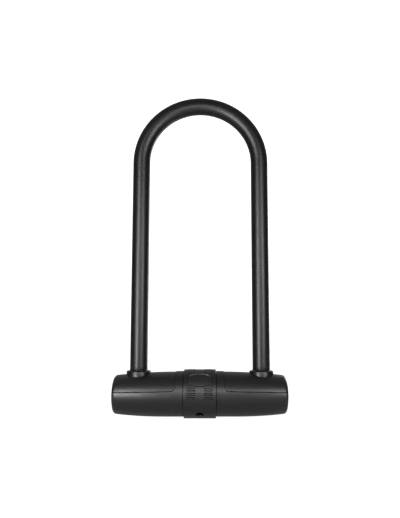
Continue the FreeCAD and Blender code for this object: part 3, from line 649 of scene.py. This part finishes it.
def panel_inside(point):
    """The inside of the top panel, with a foot that all but closes the seam's groove."""
    place = cover_inside(point)
    place.z -= SEAM_FOOT * min(1, max(0, (SEAM_FOOT_START - place.z) / SEAM_FOOT_RISE))
    return place


def top_panel(name, side):
    """The crowned cover above the seam, with a hole for the leg."""
    roll = COVER_ROLL
    seam = seam_line(SEAM_SIDE_GAP + roll, SEAM_GAP + roll, COVER_END - roll)
    front = [(x, panel_arc(x, z)) for x, z in seam]
    back = [(x, math.pi * NECK_RADIUS - v) for x, v in front]
    outline = front + run(front[-1], back[-1], COVER_STEP)[1:]
    outline += back[::-1] + run(back[0], front[0], COVER_STEP)[1:]
    columns = list(np.arange(NECK_END + COVER_STEP, TAPER_END, COLUMN_STEP)) + list(END_COLUMNS)
    rows = rows_round(NECK_RADIUS, 7.5, 175, 2.5)
    sheet = cut_sheet(outline, holes=[leg_hole(LEG_HOLE + roll)], columns=columns, rows=rows)
    bm = sheet_bmesh(sheet, panel_place, panel_inside, roll)
    add_piece(f"{name}_panel", bm, "crossbar", [f"{name}_top_panel"], "panel_plastic", mirrored=side < 0)


def collar(name, side):
    """The soft ring that a leg passes through, seated on the panel's crown."""
    profile = [
        (COLLAR_BORE, 23.2), (7.38, 23.4), (7.6, COLLAR_TOP), (8.4, COLLAR_TOP), (8.55, 23.42),
        (8.62, 23.3), (COLLAR_LIP, 22.4), (8.95, 22.2), (10.2, 22), (11, 21.85), (11.45, 21.65),
        (COLLAR_RADIUS, 21.25),
    ]
    # the seat's heights are above the panel's crown
    seat = [
        (COLLAR_RADIUS, 0.55), (COLLAR_RADIUS, 0.25), (11.66, 0.12), (11.55, 0.02), (11.3, -0.12),
        (COLLAR_SPIGOT, -0.12),
    ]
    spigot = [(COLLAR_SPIGOT, SPIGOT_BOTTOM), (COLLAR_BORE, SPIGOT_BOTTOM)]
    rings = []
    for outline, on_crown in ((profile, False), (seat, True), (spigot, False)):
        for radius, height in outline:
            ring = []
            for i in range(CIRCLE_POINTS):
                turn = TAU * i / CIRCLE_POINTS
                x, y = LEG_X + radius * math.cos(turn), radius * math.sin(turn)
                ring.append(Vector((x, y, height + (crown_surface(x, y) if on_crown else 0))))
            rings.append(ring)
    bm = ring_bmesh(rings, joined=True)
    add_piece(f"{name}_leg_collar", bm, "crossbar", [f"{name}_collar"], "collar_vinyl", mirrored=side < 0)


def end_cap(name, side):
    """A thin domed cap with a rounded rim, centred a little below the crossbar's axis."""
    height = CAP_CROWN - CAP_RIM
    dome = (CAP_FLANGE ** 2 + height ** 2) / (2 * height)
    profile = [(80.5, 13.6), (80.6, 14.0), (82.4, 14.1), (82.5, 15.4), (82.62, 15.55), (82.8, CAP_FLANGE)]
    profile += [(83.0, 15.58), (83.12, 15.5), (83.19, 15.36)]
    for step in range(1, DOME_STEPS):
        radius = DOME_EDGE * (1 - step / DOME_STEPS)
        profile.append((CAP_CROWN - dome + math.sqrt(dome ** 2 - radius ** 2), radius))
    rings = []
    for x, radius in profile:
        ring = []
        for i in range(CIRCLE_POINTS):
            turn = TAU * i / CIRCLE_POINTS
            ring.append(Vector((x, radius * math.cos(turn), radius * math.sin(turn) - CAP_DROP)))
        rings.append(ring)
    bm = ring_bmesh(rings)
    add_piece(f"{name}_cap", bm, "crossbar", [f"{name}_end_cap"], "cap_plastic", mirrored=side < 0)


# ---- dust band ----

def round_outside(skin_radius):
    """A function that wraps a flat sheet on a cylinder round the crossbar."""
    def place(x, v, lift):
        turn = v / BAND_RADIUS
        radius = skin_radius + lift
        return Vector((x, -radius * math.cos(turn), radius * math.sin(turn)))
    return place


def round_inside(radius):
    """A function that puts a skin's inside on a cylinder round the crossbar."""
    def inner(point):
        across = Vector((0, point.y, point.z)).normalized() * radius
        return Vector((point.x, across.y, across.z))
    return inner


def wrapped_oval(angle, half_length, half_height, count=CIRCLE_POINTS):
    """An oval seen square on, wrapped on the band at an angle round it, in flat coordinates."""
    loop = []
    for step in range(count):
        turn = TAU * step / count
        rise = math.asin(half_height * math.sin(turn) / BAND_RADIUS)
        loop.append((half_length * math.cos(turn), (math.radians(angle) + rise) * BAND_RADIUS))
    return loop


def rib_outline(column, angle, inset):
    """A rib's edge in flat coordinates: squarer at its outer end, rounder at its inner one."""
    middle_x = column * (RIB_START + RIB_END) / 2
    middle_v = math.radians(angle) * BAND_RADIUS
    half = (RIB_END - RIB_START) / 2
    loop = []
    for corner in range(4):
        outer = corner in (0, 3)
        radius = RIB_OUTER_CORNER if outer else RIB_INNER_CORNER
        along = 1 if outer else -1
        up = 1 if corner < 2 else -1
        centre_x, centre_v = along * (half - radius), up * (RIB_HALF_WIDTH - radius)
        rounding = max(radius - inset, 0.02)
        for step in range(RIB_CORNER_STEPS + 1):
            turn = math.pi / 2 * (corner + step / RIB_CORNER_STEPS)
            x = centre_x + rounding * math.cos(turn)
            v = centre_v + rounding * math.sin(turn)
            loop.append((middle_x + column * x, middle_v + v))
    dense = []
    for first, second in zip(loop, loop[1:] + loop[:1]):
        dense += run(first, second, 0.5)
    return dense


def on_rib(x, v):
    """Whether a point of the flat sheet is on the top of a rib."""
    half = (RIB_END - RIB_START) / 2
    along = abs(abs(x) - (RIB_START + RIB_END) / 2)
    across = min(abs(v - math.radians(angle) * BAND_RADIUS) for angle in RIB_ANGLES)
    return along < half - RIB_EDGE and across < RIB_HALF_WIDTH - RIB_EDGE


def in_recess(x, v):
    """Whether a point of the flat sheet is in the badge's oval recess."""
    rise = BAND_RADIUS * math.sin(v / BAND_RADIUS - math.radians(BADGE_ANGLE))
    within = (x / BADGE_HALF_LENGTH) ** 2 + (rise / BADGE_HALF_HEIGHT) ** 2 < 1
    return within and abs(v / BAND_RADIUS - math.radians(BADGE_ANGLE)) < 1


def band_ground(x, v):
    """Lift of the band's skin, on a rib, in the recess or between them."""
    if in_recess(x, v):
        return RECESS_FLOOR - BAND_RADIUS
    return RIB_HEIGHT if on_rib(x, v) else 0.0


def dust_band():
    """The turning band, with its keyhole, badge recess and ribs."""
    low, high = math.radians(-200) * BAND_RADIUS, math.radians(160) * BAND_RADIUS
    edge = BAND_HALF_WIDTH - BAND_EDGE
    outline = run((-edge, low), (edge, low), BAND_STEP) + run((edge, low), (edge, high), BAND_STEP)
    outline += run((edge, high), (-edge, high), BAND_STEP) + run((-edge, high), (-edge, low), BAND_STEP)
    reach = KEYHOLE_RADIUS + KEYHOLE_EDGE
    keyhole = wrapped_oval(KEYHOLE_ANGLE, reach, reach, SMALL_CIRCLE_POINTS)
    reach += KEYHOLE_FRAME
    rings = [(wrapped_oval(KEYHOLE_ANGLE, reach, reach, SMALL_CIRCLE_POINTS), 0)]
    depth = RECESS_FLOOR - BAND_RADIUS
    # the recess's edge: how far outside the oval, and its lift
    recess = [
        (0.8, 0), (0.62, 0), (0.52, -0.03), (0.42, -0.1), (0.1, -0.38), (0.02, -0.48), (0, -0.6),
        (-0.02, depth), (-0.25, depth),
    ]
    for grow, lift in recess:
        reach = BADGE_CLEARANCE + grow
        rings.append((wrapped_oval(BADGE_ANGLE, BADGE_HALF_LENGTH + reach, BADGE_HALF_HEIGHT + reach), lift))
    # a rib's groove and wall: how far inside the rib's edge, and its lift
    wall = [
        (-0.72, 0), (-0.6, 0), (-0.54, -0.03), (-0.5, -0.3), (-0.4, -0.8), (-0.27, -0.9), (-0.13, -0.8),
        (-0.03, -0.3), (0.01, 0.35 * RIB_HEIGHT), (0.06, 0.7 * RIB_HEIGHT), (0.14, 0.92 * RIB_HEIGHT),
        (0.24, RIB_HEIGHT), (0.36, RIB_HEIGHT),
    ]
    for column in (-1, 1):
        for angle in RIB_ANGLES:
            for inset, lift in wall:
                rings.append((rib_outline(column, angle, inset), lift))
    columns = np.arange(-14.4, 14.5, 0.65)
    rows = rows_round(BAND_RADIUS, -198.5, 160, 1.6)
    sheet = cut_sheet(outline, [keyhole], rings, columns, rows, band_ground, clear=0.25)
    bm = sheet_bmesh(
        sheet, round_outside(BAND_RADIUS), round_inside(BAND_BORE),
        lambda point: BAND_EDGE if abs(point.x) > edge - 0.1 else KEYHOLE_EDGE,
    )
    add_piece("band", bm, "dust_band", ["dust_band"], "cover_plastic")


def oval_badge():
    """The plain oval plate in the band's recess."""
    half_length, half_height = BADGE_HALF_LENGTH - BADGE_ROLL, BADGE_HALF_HEIGHT - BADGE_ROLL
    outline = wrapped_oval(BADGE_ANGLE, half_length, half_height)
    columns = np.arange(-11, 11.1, 0.6)
    rows = rows_round(BAND_RADIUS, BADGE_ANGLE - 18, BADGE_ANGLE + 18.1, 1.5)
    sheet = cut_sheet(outline, columns=columns, rows=rows)
    bm = sheet_bmesh(sheet, round_outside(BADGE_RADIUS), round_inside(BADGE_BORE), BADGE_ROLL)
    add_piece("badge", bm, "dust_band", ["oval_badge"], "badge_plastic")


shackle_sleeve()
dust_band()
oval_badge()
for side_name, side_sign in SIDES:
    cover_shell(side_name, side_sign)
    top_panel(side_name, side_sign)
    collar(side_name, side_sign)
    end_cap(side_name, side_sign)


# ---- stage, light and camera, in metres ----

FLOOR_RADIUS = 0.6
FLOOR_GREY = 0.65
FLOOR_GLOW = 0.05
FLOOR_GLOW_SEEN = 0.9
MIDDLE_OF_LOCK = (0, 0, 0.12)

# softboxes in pairs in front: name, distance to the side, height, left and right power in watts
SOFTBOX_Y = -0.57
SOFTBOX_SIZE = 0.16
SOFTBOX_PAIRS = (
    ("low", 0.3, 0, 3.1, 0.5),
    ("high", 0.3, 0.3, 1.5, 1),
    ("far", 0.45, 0.15, 1.4, 1.6),
)
FRONT_HEIGHT = 0.2
FRONT_POWER = 0.6
# a weak box stands behind the lock for each pair, on the right, to show the back
BEHIND_POWER = 0.35

# brightness of the studio at its far side and overhead, reached at this share of the way up
WORLD_BEHIND = 0.3
WORLD_ABOVE = 0.2
WORLD_RAMP_END = 0.9

CAMERA_PLACE = (0.008, -0.5516, 0.0655)
CAMERA_TILT = 96.8
CAMERA_LENS = 38.81
CAMERA_SHIFT = (-0.016, -0.0005)


def floor():
    """A pale round table under the lock."""
    mesh = bpy.data.meshes.new("floor")
    corners = []
    for step in range(CIRCLE_POINTS):
        turn = TAU * step / CIRCLE_POINTS
        corners.append((FLOOR_RADIUS * math.cos(turn), FLOOR_RADIUS * math.sin(turn), cad_box[0].z))
    mesh.from_pydata(corners, [], [range(CIRCLE_POINTS)])
    material = bpy.data.materials.new("floor_look")
    material.use_nodes = True
    nodes, links = material.node_tree.nodes, material.node_tree.links
    shader = nodes["Principled BSDF"]
    shader.inputs["Base Color"].default_value = (FLOOR_GREY, FLOOR_GREY, FLOOR_GREY, 1)
    shader.inputs["Roughness"].default_value = 0.9
    shader.inputs["Specular IOR Level"].default_value = 0.0
    # a lit table: it glows a little on the lock, and is overexposed to the camera
    glow = nodes.new("ShaderNodeEmission")
    strength = nodes.new("ShaderNodeMapRange")
    strength.inputs["To Min"].default_value = FLOOR_GLOW
    strength.inputs["To Max"].default_value = FLOOR_GLOW_SEEN
    links.new(nodes.new("ShaderNodeLightPath").outputs["Is Camera Ray"], strength.inputs["Value"])
    links.new(strength.outputs["Result"], glow.inputs["Strength"])
    both = nodes.new("ShaderNodeAddShader")
    links.new(shader.outputs["BSDF"], both.inputs[0])
    links.new(glow.outputs["Emission"], both.inputs[1])
    links.new(both.outputs["Shader"], nodes["Material Output"].inputs["Surface"])
    mesh.materials.append(material)
    plane = bpy.data.objects.new("floor", mesh)
    bpy.context.scene.collection.objects.link(plane)


def softbox(name, x, y, z, power):
    """A small square softbox, aimed at the middle of the lock."""
    place = Vector((x, y, z))
    data = bpy.data.lights.new(name, "AREA")
    data.size = SOFTBOX_SIZE
    data.energy = power
    light = bpy.data.objects.new(name, data)
    light.location = place
    light.visible_camera = False
    light.rotation_euler = (Vector(MIDDLE_OF_LOCK) - place).to_track_quat("-Z", "Y").to_euler()
    bpy.context.scene.collection.objects.link(light)


def studio_world():
    """White behind the object for the camera, and a dimmer studio round it for everything else."""
    world = bpy.data.worlds.new("studio")
    world.use_nodes = True
    nodes, links = world.node_tree.nodes, world.node_tree.links
    background = nodes["Background"]
    direction = nodes.new("ShaderNodeSeparateXYZ")
    links.new(nodes.new("ShaderNodeTexCoord").outputs["Generated"], direction.inputs["Vector"])
    total = nodes.new("ShaderNodeLightPath").outputs["Is Camera Ray"]
    for axis, brightness in (("Y", WORLD_BEHIND), ("Z", WORLD_ABOVE)):
        ramp = nodes.new("ShaderNodeMapRange")
        ramp.inputs["From Max"].default_value = WORLD_RAMP_END
        ramp.inputs["To Max"].default_value = brightness
        links.new(direction.outputs[axis], ramp.inputs["Value"])
        sum_node = nodes.new("ShaderNodeMath")
        links.new(total, sum_node.inputs[0])
        links.new(ramp.outputs["Result"], sum_node.inputs[1])
        total = sum_node.outputs["Value"]
    background.inputs["Color"].default_value = (1, 1, 1, 1)
    links.new(total, background.inputs["Strength"])
    bpy.context.scene.world = world


def camera():
    """The photo's view: from in front, a little above the crossbar and looking slightly up."""
    data = bpy.data.cameras.new("camera")
    data.sensor_width = 36
    data.lens = CAMERA_LENS
    data.shift_x, data.shift_y = CAMERA_SHIFT
    place = bpy.data.objects.new("camera", data)
    place.location = CAMERA_PLACE
    place.rotation_euler = (math.radians(CAMERA_TILT), 0, 0)
    bpy.context.scene.collection.objects.link(place)
    bpy.context.scene.camera = place


floor()
studio_world()
for label, away, height, left_power, right_power in SOFTBOX_PAIRS:
    softbox(f"left_{label}", -away, SOFTBOX_Y, height, left_power)
    softbox(f"right_{label}", away, SOFTBOX_Y, height, right_power)
    softbox(f"behind_{label}", away, -SOFTBOX_Y, height, BEHIND_POWER)
softbox("front", 0, SOFTBOX_Y, FRONT_HEIGHT, FRONT_POWER)
camera()
bpy.context.scene.view_settings.view_transform = "Standard"
